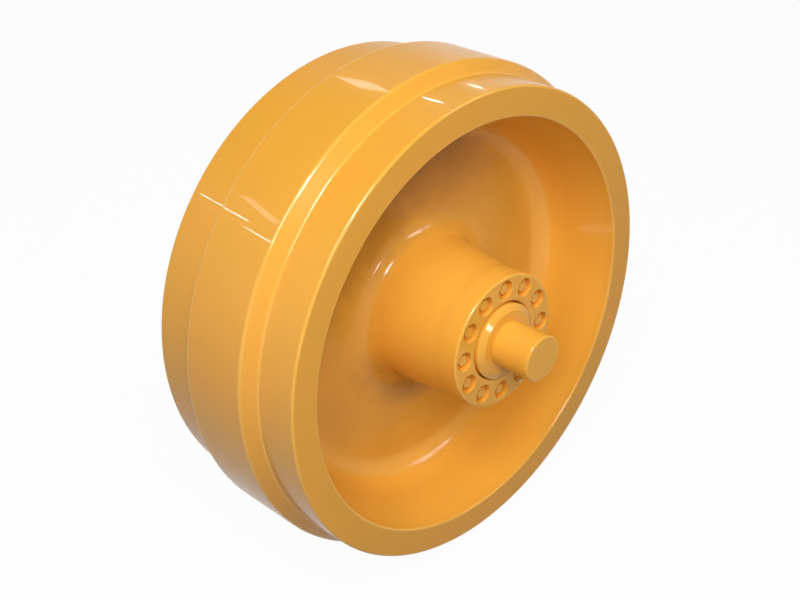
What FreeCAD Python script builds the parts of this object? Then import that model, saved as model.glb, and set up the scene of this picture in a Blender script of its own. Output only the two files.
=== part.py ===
import FreeCAD, Part
import math
import os

from FreeCAD import Vector

# Track idler wheel of a large crawler excavator, on its axle.
# The origin is the middle of the wheel and the wheel turns about the Y axis.
# Both ends are alike. A section is drawn for the near end, as radius against distance out
# from the middle of the wheel; the near end lies towards -Y and the far end is its mirror image.

# Rim, guide flange and dish
TREAD_DIAMETER = 860.0
FLANGE_DIAMETER = 903.0
RIM_WIDTH = 334.0
TREAD_STRIP = 79.5
RIM_WALL = 52.5
RIM_EDGE_BLEND = 4.5
FLANGE_FOOT_BLEND = 5.0
FLANGE_CREST_BLEND = 8.5
WEB_THICKNESS = 38.0
DISH_DRAFT = 16.3
DISH_BLEND = 40.0

# Hub
HUB_DIAMETER = 242.0
HUB_LENGTH = 438.0
HUB_DRAFT = 6.5
HUB_BAND = 13.0
HUB_ROOT_BLEND = 38.0
HUB_BAND_BLEND = 12.0
HUB_BORE = 160.0
BORE_EDGE = 1.5
OIL_CHAMBER_DIAMETER = 176.0
OIL_CHAMBER_WIDTH = 56.0
OIL_CHAMBER_SLOPE = 8.0
OIL_CHAMBER_BLEND = 3.0

# Bearing carrier bolted to the hub end
CARRIER_FLANGE = 39.0
CARRIER_EDGE_BLEND = 3.0
CARRIER_LIP_BLEND = 6.5
JOINT_EDGE = 0.8
SPIGOT_CLEARANCE = 0.05
COLLAR_GAP = 2.0
CARRIER_NECK = 4.0
NECK_CLEARANCE = 6.0
CARRIER_RELIEF = 2.0

# Screws: M12 hexagon heads in counterbores wide enough for a wrench socket
SCREW_COUNT = 12
SCREW_TURN = 25.0
BOLT_CIRCLE = 196.0
SCREW_DIAMETER = 12.0
SCREW_LENGTH = 45.0
SCREW_TIP_EDGE = 1.2
HEAD_ACROSS_FLATS = 18.0
HEAD_HEIGHT = 7.5
HEAD_TOP_CIRCLE = 17.1
HEAD_CHAMFER = 30.0
COUNTERBORE_DIAMETER = 33.0
HEAD_BELOW_FACE = 4.3
COUNTERBORE_EDGE = 0.9
SCREW_HOLE_CLEARANCE = 0.75
THREAD_CLEARANCE = 0.05
TAP_RUN_OUT = 5.0

# Axle
AXLE_LENGTH = 610.0
JOURNAL_DIAMETER = 83.0
JOURNAL_END_BLEND = 4.0
JOURNAL_RELIEF_DEPTH = 0.5
JOURNAL_RELIEF_BEYOND_COLLAR = 1.0
COLLAR_SEAT_DIAMETER = 90.0
BEARING_DIAMETER = 110.0
BEARING_SETBACK = 4.0
AXLE_STEP_EDGE = 1.5
THRUST_FLANGE_DIAMETER = 148.0
THRUST_FLANGE_WIDTH = 44.0
THRUST_PLAY = 0.4

# Bushings
BUSHING_WALL = 9.0
BUSHING_FLANGE_DIAMETER = 152.0
BUSHING_FLANGE_THICKNESS = 8.0
BUSHING_LENGTH = 110.0
BUSHING_EDGE = 1.0
RUNNING_CLEARANCE = 0.08

# Seal collar
COLLAR_DIAMETER = 138.0
COLLAR_STAND_OUT = 9.0
COLLAR_SHOULDER_RISE = 10.3
COLLAR_SHOULDER_RUN = 6.5
COLLAR_FACE_EDGE = 0.8
COLLAR_FACE_THICKNESS = 6.0
COLLAR_FIT = 0.03

# Seal pairs: two metal rings, face to face, each pushed by a rubber ring between two slopes
SEAL_FROM_HUB_FACE = 31.0
SEAL_FACE_DIAMETER = 124.0
SEAL_FACE_LAND = 4.6
SEAL_FACE_RELIEF = 0.6
SEAL_RING_BORE = 98.0
SEAL_FLANGE = 4.0
SEAL_RING_LENGTH = 12.5
SEAL_SLOPE_START = 56.5
SEAL_SLOPE_END = 54.5
HOUSING_MOUTH = 66.0
HOUSING_FLOOR = 63.2
HOUSING_DEPTH = 15.0
HOUSING_BLEND = 3.0
HALF_PLANE_GAP = 1.0
COLLAR_MOUTH_GAP = 2.5
RUBBER_FROM_FACE = 8.5
RUBBER_CLEARANCE = 0.28

# Static seal rings
CARRIER_GROOVE_DEPTH = 4.6
CARRIER_GROOVE_WIDTH = 6.5
CARRIER_GROOVE_SETBACK = 5.0
COLLAR_GROOVE_DEPTH = 3.2
COLLAR_GROOVE_WIDTH = 4.2
COLLAR_GROOVE_SETBACK = 1.8
STATIC_RING_CLEARANCE = 0.1

# Lock pins
PIN_DIAMETER = 8.0
PIN_FROM_SHOULDER = 8.0
PIN_DEPTH_IN_AXLE = 8.0
PIN_BELOW_COLLAR = 1.0
PIN_END_CLEARANCE = 0.5
PIN_FIT = 0.02
PIN_EDGE = 0.8

# Oil bore and its plug in the far axle end
OIL_BORE = 10.0
OIL_CROSS_BORE = 8.0
PLUG_THREAD = 16.6
PLUG_THREAD_LENGTH = 12.0
PLUG_HEAD_DIAMETER = 22.0
PLUG_HEAD_HEIGHT = 4.0
PLUG_SOCKET_ACROSS_FLATS = 8.0
PLUG_SOCKET_DEPTH = 7.0
PLUG_SPOT_FACE = 26.0
PLUG_SPOT_DEPTH = 7.0
PLUG_EDGE = 0.8
PLUG_WASHER_THICKNESS = 1.5
PLUG_THREAD_CLEARANCE = 0.05

# Places worked out from the sizes above
RIM_FACE = RIM_WIDTH / 2
HUB_FACE = HUB_LENGTH / 2
JOINT_FACE = HUB_FACE - CARRIER_FLANGE
HUB_BAND_FOOT = JOINT_FACE - HUB_BAND
SEAL_PLANE = HUB_FACE - SEAL_FROM_HUB_FACE
COUNTERBORE_DEPTH = HEAD_BELOW_FACE + HEAD_HEIGHT
SCREW_SEAT = HUB_FACE - COUNTERBORE_DEPTH
COLLAR_FACE = HUB_FACE + COLLAR_STAND_OUT
COLLAR_SHOULDER = COLLAR_FACE - COLLAR_FACE_THICKNESS
PIN_PLACE = COLLAR_SHOULDER - PIN_FROM_SHOULDER
BUSHING_FLANGE_FACE = THRUST_FLANGE_WIDTH / 2 + THRUST_PLAY
CARRIER_INNER_END = BUSHING_FLANGE_FACE + BUSHING_FLANGE_THICKNESS
BUSHING_OUTER_END = CARRIER_INNER_END + BUSHING_LENGTH
BUSHING_OUTSIDE = BEARING_DIAMETER / 2 + BUSHING_WALL
CARRIER_SPIGOT = HUB_BORE / 2 - SPIGOT_CLEARANCE
HOUSING_START = SEAL_PLANE + HALF_PLANE_GAP
HOUSING_END = HOUSING_START - HOUSING_DEPTH
NECK_END = HOUSING_END - CARRIER_NECK
BEARING_END = NECK_END - BEARING_SETBACK
COLLAR_MOUTH = SEAL_PLANE + COLLAR_MOUTH_GAP
COLLAR_FLOOR = 2 * SEAL_PLANE - HOUSING_END
HOUSING_SLOPE = (HOUSING_MOUTH - HOUSING_FLOOR) / HOUSING_DEPTH


# Sections and shapes

def rounding(before, corner, after, radius):
    """Start, middle and end of the arc that rounds one corner of a section."""
    to_before = (before - corner).normalize()
    to_after = (after - corner).normalize()
    half_angle = to_before.getAngle(to_after) / 2
    reach = radius / math.tan(half_angle)
    inwards = (to_before + to_after).normalize()
    centre = corner + inwards * (radius / math.sin(half_angle))
    return corner + to_before * reach, centre - inwards * radius, corner + to_after * reach


def section(corners):
    """Flat face from (radius, distance out, rounding) corners."""
    points = [Vector(radius, -out, 0) for radius, out, blend in corners]
    count = len(points)
    entries = []
    exits = []
    edges = []
    for i, (radius, out, blend) in enumerate(corners):
        if blend == 0:
            entries.append(points[i])
            exits.append(points[i])
            continue
        start, middle, end = rounding(points[i - 1], points[i], points[(i + 1) % count], blend)
        entries.append(start)
        exits.append(end)
        edges.append(Part.Arc(start, middle, end).toShape())
    for i in range(count):
        following = entries[(i + 1) % count]
        if exits[i].distanceToPoint(following) > 0.001:
            edges.append(Part.makeLine(exits[i], following))
    return Part.Face(Part.Wire(Part.__sortEdges__(edges)))


def turned(corners):
    """Solid of revolution about the wheel axis."""
    return section(corners).revolve(Vector(0, 0, 0), Vector(0, 1, 0), 360)


def mirrored_halves(near_half):
    """Closed section whose far half mirrors the near half."""
    far_half = [(radius, -out, blend) for radius, out, blend in reversed(near_half)]
    return near_half + far_half


def torus_ring(centre_radius, out, thickness):
    """Round rubber ring about the wheel axis."""
    ring = Part.makeTorus(centre_radius, thickness / 2, Vector(0, 0, 0), Vector(0, 1, 0))
    ring.translate(Vector(0, -out, 0))
    return ring


def hexagon_prism(across_flats, top, depth):
    """Hexagon bar along the axis, from the distance out called top, inwards by depth."""
    corner_radius = across_flats / 2 / math.cos(math.radians(30))
    points = []
    for step in range(7):
        angle = math.radians(60 * step)
        points.append(Vector(corner_radius * math.cos(angle), -top, corner_radius * math.sin(angle)))
    return Part.Face(Part.makePolygon(points)).extrude(Vector(0, depth, 0))


def bolt_ring(shape):
    """Copies of a shape at every screw place, each turned on differently about its own axis."""
    copies = []
    for step in range(SCREW_COUNT):
        copy = shape.copy()
        copy.rotate(Vector(0, 0, 0), Vector(0, 1, 0), SCREW_TURN * step)
        copy.translate(Vector(0, 0, BOLT_CIRCLE / 2))
        copy.rotate(Vector(0, 0, 0), Vector(0, 1, 0), 360 / SCREW_COUNT * step)
        copies.append(copy)
    return copies


def far_end(shape):
    """The same shape at the far end of the wheel."""
    return shape.mirror(Vector(0, 0, 0), Vector(0, 1, 0))


def housing_radius(from_face):
    """Radius of the sloping housing wall at a distance from the seal plane."""
    return HOUSING_MOUTH - HOUSING_SLOPE * (from_face + HALF_PLANE_GAP)


def ring_slope_radius(from_face):
    """Radius of the slope on a metal seal ring at a distance from the seal plane."""
    drop = (SEAL_SLOPE_START - SEAL_SLOPE_END) / (SEAL_RING_LENGTH - SEAL_FLANGE)
    return SEAL_SLOPE_START - drop * (from_face - SEAL_FLANGE)


# The wheel and what turns with it

def wheel_casting():
    """Rim, guide flange, dished web and tapered hub in one piece."""
    tread = TREAD_DIAMETER / 2
    crest = FLANGE_DIAMETER / 2
    hub = HUB_DIAMETER / 2
    flange_foot = RIM_FACE - TREAD_STRIP
    flange_crest = flange_foot - (crest - tread)
    dish_mouth = tread - RIM_WALL
    web = WEB_THICKNESS / 2
    dish_floor = dish_mouth - (RIM_FACE - web) * math.tan(math.radians(DISH_DRAFT))
    hub_root = hub + (HUB_BAND_FOOT - web) * math.tan(math.radians(HUB_DRAFT))
    chamber = OIL_CHAMBER_WIDTH / 2
    body = turned(mirrored_halves([
        (crest, flange_crest, FLANGE_CREST_BLEND),
        (tread, flange_foot, FLANGE_FOOT_BLEND),
        (tread, RIM_FACE, RIM_EDGE_BLEND),
        (dish_mouth, RIM_FACE, RIM_EDGE_BLEND),
        (dish_floor, web, DISH_BLEND),
        (hub_root, web, HUB_ROOT_BLEND),
        (hub, HUB_BAND_FOOT, HUB_BAND_BLEND),
        (hub, JOINT_FACE, JOINT_EDGE),
        (HUB_BORE / 2, JOINT_FACE, BORE_EDGE),
        (HUB_BORE / 2, chamber, 0),
        (OIL_CHAMBER_DIAMETER / 2, chamber - OIL_CHAMBER_SLOPE, OIL_CHAMBER_BLEND),
    ]))
    thread_radius = SCREW_DIAMETER / 2 + THREAD_CLEARANCE
    hole_floor = SCREW_SEAT - SCREW_LENGTH - TAP_RUN_OUT
    tapped_hole = turned([
        (0, JOINT_FACE + 1, 0),
        (thread_radius, JOINT_FACE + 1, 0),
        (thread_radius, hole_floor, 0),
        (0, hole_floor - thread_radius / 2, 0),
    ])
    near_holes = bolt_ring(tapped_hole)
    return body.cut(near_holes + [far_end(hole) for hole in near_holes])


def bearing_carrier():
    """Flanged sleeve bolted to the hub end: holds the bushing and half of the seal."""
    lip = (COLLAR_DIAMETER + 2 * COLLAR_GAP) / 2
    neck = COLLAR_SEAT_DIAMETER / 2 + NECK_CLEARANCE
    relief = BEARING_DIAMETER / 2 + CARRIER_RELIEF
    groove_end = JOINT_FACE - CARRIER_GROOVE_SETBACK
    groove_start = groove_end - CARRIER_GROOVE_WIDTH
    groove_floor = CARRIER_SPIGOT - CARRIER_GROOVE_DEPTH
    body = turned([
        (HUB_DIAMETER / 2, HUB_FACE, CARRIER_EDGE_BLEND),
        (lip, HUB_FACE, CARRIER_LIP_BLEND),
        (lip, HOUSING_START, 0),
        (HOUSING_MOUTH, HOUSING_START, JOINT_EDGE),
        (HOUSING_FLOOR, HOUSING_END, HOUSING_BLEND),
        (neck, HOUSING_END, JOINT_EDGE),
        (neck, NECK_END, JOINT_EDGE),
        (relief, NECK_END, 0),
        (relief, BUSHING_OUTER_END, 0),
        (BUSHING_OUTSIDE, BUSHING_OUTER_END, 0),
        (BUSHING_OUTSIDE, CARRIER_INNER_END, BUSHING_EDGE),
        (CARRIER_SPIGOT, CARRIER_INNER_END, BORE_EDGE),
        (CARRIER_SPIGOT, groove_start, 0),
        (groove_floor, groove_start, 0),
        (groove_floor, groove_end, 0),
        (CARRIER_SPIGOT, groove_end, 0),
        (CARRIER_SPIGOT, JOINT_FACE, 0),
        (HUB_DIAMETER / 2, JOINT_FACE, JOINT_EDGE),
    ])
    return body.cut(bolt_ring(counterbored_hole()))


def counterbored_hole():
    """Room for one screw: counterbore with a broken edge, and the hole for the shank."""
    wide = COUNTERBORE_DIAMETER / 2
    narrow = SCREW_DIAMETER / 2 + SCREW_HOLE_CLEARANCE
    return turned([
        (0, HUB_FACE + 1, 0),
        (wide + COUNTERBORE_EDGE + 1, HUB_FACE + 1, 0),
        (wide, HUB_FACE - COUNTERBORE_EDGE, 0),
        (wide, SCREW_SEAT, COUNTERBORE_EDGE),
        (narrow, SCREW_SEAT, 0),
        (narrow, JOINT_FACE - 1, 0),
        (0, JOINT_FACE - 1, 0),
    ])


def carrier_screws():
    """Hexagon head screws seated in the counterbores of one carrier."""
    shank = SCREW_DIAMETER / 2
    head_top = SCREW_SEAT + HEAD_HEIGHT
    top_circle = HEAD_TOP_CIRCLE / 2
    cone_foot = top_circle + HEAD_HEIGHT / math.tan(math.radians(HEAD_CHAMFER))
    tip = SCREW_SEAT - SCREW_LENGTH
    cone = turned([
        (0, head_top, 0),
        (top_circle, head_top, 0),
        (cone_foot, SCREW_SEAT, 0),
        (0, SCREW_SEAT, 0),
    ])
    head = cone.common(hexagon_prism(HEAD_ACROSS_FLATS, head_top, HEAD_HEIGHT))
    thread = turned([
        (0, SCREW_SEAT, 0),
        (shank, SCREW_SEAT, 0),
        (shank, tip + SCREW_TIP_EDGE, 0),
        (shank - SCREW_TIP_EDGE, tip, 0),
        (0, tip, 0),
    ])
    return Part.makeCompound(bolt_ring(head.fuse(thread)))


def bushing():
    """Sleeve bearing with a thrust flange at its inner end."""
    inside = BEARING_DIAMETER / 2 + RUNNING_CLEARANCE
    flange = BUSHING_FLANGE_DIAMETER / 2
    return turned([
        (inside, BUSHING_FLANGE_FACE, BUSHING_EDGE),
        (flange, BUSHING_FLANGE_FACE, BUSHING_EDGE),
        (flange, CARRIER_INNER_END, BUSHING_EDGE),
        (BUSHING_OUTSIDE, CARRIER_INNER_END, 0),
        (BUSHING_OUTSIDE, BUSHING_OUTER_END - THRUST_PLAY, BUSHING_EDGE),
        (inside, BUSHING_OUTER_END - THRUST_PLAY, BUSHING_EDGE),
    ])


def carrier_ring():
    """Static seal between the carrier and the hub bore."""
    thickness = CARRIER_GROOVE_DEPTH + SPIGOT_CLEARANCE - 2 * STATIC_RING_CLEARANCE
    centre = CARRIER_SPIGOT - CARRIER_GROOVE_DEPTH + STATIC_RING_CLEARANCE + thickness / 2
    return torus_ring(centre, JOINT_FACE - CARRIER_GROOVE_SETBACK - CARRIER_GROOVE_WIDTH / 2, thickness)


# Seal pairs

def seal_ring(away):
    """Metal ring with its sealing face on the seal plane; away is +1 outwards, -1 inwards."""
    face = SEAL_FACE_DIAMETER / 2
    land = face - SEAL_FACE_LAND
    bore = SEAL_RING_BORE / 2
    depths = [
        (face, 0, 0),
        (face, SEAL_FLANGE, 0),
        (SEAL_SLOPE_START, SEAL_FLANGE, 0),
        (SEAL_SLOPE_END, SEAL_RING_LENGTH, 0),
        (bore, SEAL_RING_LENGTH, 0),
        (bore, SEAL_FACE_RELIEF, 0),
        (land - SEAL_FACE_RELIEF, SEAL_FACE_RELIEF, 0),
        (land, 0, 0),
    ]
    return turned([(radius, SEAL_PLANE + away * depth, blend) for radius, depth, blend in depths])


def seal_rubber(away):
    """Rubber ring between the slope of a metal ring and the slope of its housing."""
    inner = ring_slope_radius(RUBBER_FROM_FACE)
    outer = housing_radius(RUBBER_FROM_FACE)
    thickness = outer - inner - 2 * RUBBER_CLEARANCE
    return torus_ring((inner + outer) / 2, SEAL_PLANE + away * RUBBER_FROM_FACE, thickness)


# The axle and what stands still with it

def axle():
    """Stepped axle with a thrust flange, grinding reliefs, lock pin holes and an oil bore."""
    journal = JOURNAL_DIAMETER / 2
    seat = COLLAR_SEAT_DIAMETER / 2
    bearing = BEARING_DIAMETER / 2
    thrust = THRUST_FLANGE_DIAMETER / 2
    end = AXLE_LENGTH / 2
    relief = journal - JOURNAL_RELIEF_DEPTH
    relief_end = COLLAR_FACE + JOURNAL_RELIEF_BEYOND_COLLAR
    body = turned(mirrored_halves([
        (0, end, 0),
        (journal, end, JOURNAL_END_BLEND),
        (journal, relief_end, 0),
        (relief, relief_end - JOURNAL_RELIEF_DEPTH, 0),
        (relief, COLLAR_SHOULDER, 0),
        (seat, COLLAR_SHOULDER, 0),
        (seat, BEARING_END, 0),
        (bearing, BEARING_END, AXLE_STEP_EDGE),
        (bearing, THRUST_FLANGE_WIDTH / 2, 0),
        (thrust, THRUST_FLANGE_WIDTH / 2, AXLE_STEP_EDGE),
    ]))
    pin_hole = pin_cylinder(PIN_DIAMETER / 2, seat - PIN_DEPTH_IN_AXLE, seat + 1)
    return body.cut([pin_hole, far_end(pin_hole), oil_bores()])


def oil_bores():
    """Bore from the far axle end to the middle, crossing to the rim of the thrust flange."""
    end = AXLE_LENGTH / 2
    thread = PLUG_THREAD / 2 + PLUG_THREAD_CLEARANCE
    thread_end = end - PLUG_SPOT_DEPTH - PLUG_THREAD_LENGTH - PLUG_SOCKET_DEPTH
    spot = PLUG_SPOT_FACE / 2
    along = far_end(turned([
        (0, end + 1, 0),
        (spot + PLUG_EDGE + 1, end + 1, 0),
        (spot, end - PLUG_EDGE, 0),
        (spot, end - PLUG_SPOT_DEPTH, 0),
        (thread, end - PLUG_SPOT_DEPTH, 0),
        (thread, thread_end, 0),
        (OIL_BORE / 2, thread_end - OIL_BORE / 4, 0),
        (OIL_BORE / 2, -OIL_BORE / 2, 0),
        (0, -OIL_BORE / 2, 0),
    ]))
    across = Part.makeCylinder(OIL_CROSS_BORE / 2, THRUST_FLANGE_DIAMETER / 2 + 1)
    return along.fuse(across)


def pin_cylinder(radius, inner_end, outer_end):
    """Upright cylinder at the pin place of the near collar, between two heights above the axis."""
    return Part.makeCylinder(radius, outer_end - inner_end, Vector(0, -PIN_PLACE, inner_end))


def lock_pin():
    """Dowel through the near collar into the axle."""
    bottom = COLLAR_SEAT_DIAMETER / 2 - PIN_DEPTH_IN_AXLE + PIN_END_CLEARANCE
    pin = pin_cylinder(PIN_DIAMETER / 2 - PIN_FIT, bottom, COLLAR_DIAMETER / 2 - PIN_BELOW_COLLAR)
    ends = [edge for edge in pin.Edges if edge.isClosed()]
    return pin.makeChamfer(PIN_EDGE, ends)


def seal_collar():
    """Ring pinned on the axle: holds the standing half of the seal and closes the carrier bore."""
    outside = COLLAR_DIAMETER / 2
    bore = COLLAR_SEAT_DIAMETER / 2 + COLLAR_FIT
    groove_start = COLLAR_FLOOR + COLLAR_GROOVE_SETBACK
    groove_end = groove_start + COLLAR_GROOVE_WIDTH
    groove_floor = bore + COLLAR_GROOVE_DEPTH
    body = turned([
        (outside, COLLAR_MOUTH, JOINT_EDGE),
        (outside, COLLAR_FACE - COLLAR_SHOULDER_RUN, JOINT_EDGE),
        (outside - COLLAR_SHOULDER_RISE, COLLAR_FACE, COLLAR_FACE_EDGE),
        (JOURNAL_DIAMETER / 2 + COLLAR_FIT, COLLAR_FACE, 0),
        (JOURNAL_DIAMETER / 2 + COLLAR_FIT, COLLAR_SHOULDER, 0),
        (bore, COLLAR_SHOULDER, 0),
        (bore, groove_end, 0),
        (groove_floor, groove_end, 0),
        (groove_floor, groove_start, 0),
        (bore, groove_start, 0),
        (bore, COLLAR_FLOOR, 0),
        (HOUSING_FLOOR, COLLAR_FLOOR, HOUSING_BLEND),
        (housing_radius(COLLAR_MOUTH_GAP), COLLAR_MOUTH, JOINT_EDGE),
    ])
    return body.cut(pin_cylinder(PIN_DIAMETER / 2, bore - 1, outside + 1))


def collar_ring():
    """Static seal between the collar and the axle."""
    thickness = COLLAR_GROOVE_DEPTH + COLLAR_FIT - 2 * STATIC_RING_CLEARANCE
    centre = COLLAR_SEAT_DIAMETER / 2 + STATIC_RING_CLEARANCE + thickness / 2
    return torus_ring(centre, COLLAR_FLOOR + COLLAR_GROOVE_SETBACK + COLLAR_GROOVE_WIDTH / 2, thickness)


def oil_plug():
    """Threaded plug with a low head and a hexagon socket, in the spot face of the far axle end."""
    washer_face = AXLE_LENGTH / 2 - PLUG_SPOT_DEPTH + PLUG_WASHER_THICKNESS
    head_top = washer_face + PLUG_HEAD_HEIGHT
    tip = washer_face - PLUG_WASHER_THICKNESS - PLUG_THREAD_LENGTH
    thread = PLUG_THREAD / 2
    plug = turned([
        (0, head_top, 0),
        (PLUG_HEAD_DIAMETER / 2, head_top, PLUG_EDGE),
        (PLUG_HEAD_DIAMETER / 2, washer_face, 0),
        (thread, washer_face, 0),
        (thread, tip + PLUG_EDGE, 0),
        (thread - PLUG_EDGE, tip, 0),
        (0, tip, 0),
    ])
    return far_end(plug.cut(hexagon_prism(PLUG_SOCKET_ACROSS_FLATS, head_top, PLUG_SOCKET_DEPTH)))


def plug_washer():
    """Flat sealing washer between the plug head and the spot face."""
    seat = AXLE_LENGTH / 2 - PLUG_SPOT_DEPTH
    return far_end(turned([
        (PLUG_THREAD / 2 + PLUG_THREAD_CLEARANCE, seat, 0),
        (PLUG_HEAD_DIAMETER / 2, seat, 0),
        (PLUG_HEAD_DIAMETER / 2, seat + PLUG_WASHER_THICKNESS, 0),
        (PLUG_THREAD / 2 + PLUG_THREAD_CLEARANCE, seat + PLUG_WASHER_THICKNESS, 0),
    ]))


# Files

def write(node, shape):
    """Save one piece."""
    shape.exportStep("parts/" + node + ".step")


def write_both_ends(name, near):
    """Save the near piece and its mirror image at the far end."""
    write(name + "_near", near)
    write(name + "_far", far_end(near))


os.makedirs("parts", exist_ok=True)
write("wheel_casting", wheel_casting())
write("axle", axle())
write("oil_plug", oil_plug())
write("oil_plug_washer", plug_washer())
write_both_ends("bearing_carrier", bearing_carrier())
write_both_ends("carrier_screws", carrier_screws())
write_both_ends("bushing", bushing())
write_both_ends("carrier_ring", carrier_ring())
write_both_ends("rotating_seal_ring", seal_ring(-1))
write_both_ends("rotating_seal_rubber", seal_rubber(-1))
write_both_ends("fixed_seal_ring", seal_ring(1))
write_both_ends("fixed_seal_rubber", seal_rubber(1))
write_both_ends("seal_collar", seal_collar())
write_both_ends("collar_ring", collar_ring())
write_both_ends("lock_pin", lock_pin())
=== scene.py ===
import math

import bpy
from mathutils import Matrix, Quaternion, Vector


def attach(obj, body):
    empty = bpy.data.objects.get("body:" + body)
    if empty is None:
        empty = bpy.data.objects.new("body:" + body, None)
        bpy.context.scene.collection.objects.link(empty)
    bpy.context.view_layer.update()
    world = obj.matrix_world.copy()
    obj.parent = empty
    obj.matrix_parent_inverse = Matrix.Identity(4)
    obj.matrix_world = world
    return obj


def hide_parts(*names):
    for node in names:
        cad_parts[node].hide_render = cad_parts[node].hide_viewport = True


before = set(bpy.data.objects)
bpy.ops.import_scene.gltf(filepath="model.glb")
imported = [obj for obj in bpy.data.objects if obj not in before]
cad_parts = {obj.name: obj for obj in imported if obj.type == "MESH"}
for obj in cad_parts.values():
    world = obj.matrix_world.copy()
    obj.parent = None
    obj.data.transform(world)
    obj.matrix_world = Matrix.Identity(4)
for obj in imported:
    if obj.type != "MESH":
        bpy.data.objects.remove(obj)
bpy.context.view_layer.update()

# %% [markdown]
# # A painted track idler
# This wheel leads the track of a very large crawler machine. It is one heavy casting: a rim with a
# raised guide flange round its middle, a dished web and a tapered hub, with a bearing carrier bolted
# into each hub end and a fixed axle through both. Everything wears one coat of glossy orange-yellow
# paint, so the form has to carry the picture: round fillets, crisp machined faces and clean edges.
# The measured model already stands in the scene, and its size is noted down first.

# %% [markdown]
# ## Sizes
# The wheel turns about the Y axis and both its ends are alike, so a point of its outline needs two
# numbers only: its radius, and how far out it lies from the middle of the wheel. All are in metres.
# The sizes of the other pieces stand where each piece is made.

# %% Sizes of the rim, the dish and the hub
TREAD = 0.430
TREAD_WIDTH = 0.0795
CREST = 0.4515
RIM_FACE = 0.167
RIM_THICKNESS = 0.0525
FLANGE_FOOT = RIM_FACE - TREAD_WIDTH
FLANGE_TOP = FLANGE_FOOT - (CREST - TREAD)  # its flanks slope at 45 degrees
DISH_MOUTH = TREAD - RIM_THICKNESS
WEB = 0.019  # half the thickness of the web
HUB = 0.121
JOINT = 0.180
HUB_FACE = 0.219
DISH_DRAFT = math.radians(16.3)
HUB_DRAFT = math.radians(6.5)
DISH_FLOOR = DISH_MOUTH - (RIM_FACE - WEB) * math.tan(DISH_DRAFT)
HUB_ROOT = HUB + (RIM_FACE - WEB) * math.tan(HUB_DRAFT)
HUB_BORE = 0.080
BORE_BRIDGE = 0.028  # where both ends' bores stop and are bridged
print("dish floor radius %.4f, hub root radius %.4f" % (DISH_FLOOR, HUB_ROOT))

# %% [markdown]
# ## Tools for turned pieces
# Nearly every piece is round about the same axle. On a lathe such a piece starts as a bar, and here it
# starts as a cylinder primitive. Each end face is then extruded and scaled from one station of the
# outline to the next, the way a turner works inwards step by step, and the corners left between two
# surfaces are bevelled to their true radius. The spin tool could draw the same shape, but stepping an
# end face keeps the outline readable as a list of radii and distances.

# %% Start a piece and walk its end faces
AXLE_LINE = Vector((0, 0, 0))


def deselect_everything():
    if bpy.context.object and bpy.context.object.mode != "OBJECT":
        bpy.ops.object.mode_set(mode="OBJECT")
    bpy.ops.object.select_all(action="DESELECT")


def work_on(piece):
    deselect_everything()
    piece.select_set(True)
    bpy.context.view_layer.objects.active = piece


def add_bar(name, radius, low, high, sides):
    """A bar along the axle between two places on it."""
    deselect_everything()
    bpy.ops.mesh.primitive_cylinder_add(
        vertices=sides, radius=radius, depth=high - low,
        location=(0, (low + high) / 2, 0), rotation=(math.pi / 2, 0, 0))
    piece = bpy.context.object
    piece.name = piece.data.name = name
    bpy.ops.object.transform_apply(location=True, rotation=True)
    return piece


def from_axle(point):
    return math.hypot(point.x, point.z)


def choose(piece, kind, wanted):
    """Selects in edit mode the faces, edges or points that pass a test."""
    work_on(piece)
    bpy.ops.object.mode_set(mode="EDIT")
    bpy.ops.mesh.select_mode(type=kind)
    bpy.ops.mesh.select_all(action="DESELECT")
    bpy.ops.object.mode_set(mode="OBJECT")
    mesh = piece.data
    if kind == "FACE":
        chosen = [face for face in mesh.polygons if wanted(face)]
    elif kind == "EDGE":
        chosen = [edge for edge in mesh.edges
                  if wanted(*[mesh.vertices[end].co for end in edge.vertices])]
    else:
        chosen = [corner for corner in mesh.vertices if wanted(corner.co)]
    for element in chosen:
        element.select = True
    bpy.ops.object.mode_set(mode="EDIT")


def choose_end(piece, side):
    """Selects the flat end face on the axle that looks out of the near end (-1) or the far end (+1)."""
    choose(piece, "FACE", lambda face: face.normal.y * side > 0.9 and from_axle(face.center) < 0.0001)


def step_to(radius, next_radius, move):
    """One step of the outline: a new ring of faces to the next radius and place."""
    bpy.ops.mesh.extrude_region_move(TRANSFORM_OT_translate={"value": (0, move, 0)})
    scale = next_radius / radius
    bpy.ops.transform.resize(value=(scale, 1, scale), center_override=AXLE_LINE)


def walk_end(piece, side, start, stations):
    """Takes one end face through (radius, distance out) stations."""
    choose_end(piece, side)
    radius, out = start
    for next_radius, next_out in stations:
        step_to(radius, next_radius, side * (next_out - out))
        radius, out = next_radius, next_out
    bpy.ops.object.mode_set(mode="OBJECT")


# %% [markdown]
# ## True fillets
# A casting has a large fillet wherever a wall turns, so that the metal flows and cools evenly, and even
# a machined edge is broken a little. The bevel tool takes a distance, not a radius, so the helper
# measures how far the surface turns at the ring and works the distance out from the radius.

# %% Round rings of edges, and finish a mesh
def on_ring(point, radius, out):
    return abs(from_axle(point) - radius) < 0.0002 and abs(abs(point.y) - out) < 0.0002


def turn_at_selection(piece):
    """The angle by which the surface turns across a selected edge."""
    bpy.ops.object.mode_set(mode="OBJECT")
    mesh = piece.data
    edge = next(edge for edge in mesh.edges if edge.select)
    sides = [face.normal for face in mesh.polygons if set(edge.vertices) <= set(face.vertices)]
    bpy.ops.object.mode_set(mode="EDIT")
    return sides[0].angle(sides[1])


def round_ring(piece, radius, out, blend, cuts):
    """Rounds the ring at this radius and distance out, at both ends of the piece."""
    choose(piece, "EDGE",
           lambda a, b: on_ring(a, radius, out) and on_ring(b, radius, out) and a.y * b.y > 0)
    offset = blend * math.tan(turn_at_selection(piece) / 2)
    bpy.ops.mesh.bevel(offset=offset, segments=cuts, profile=0.5, affect="EDGES", clamp_overlap=False)
    bpy.ops.object.mode_set(mode="OBJECT")


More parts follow.
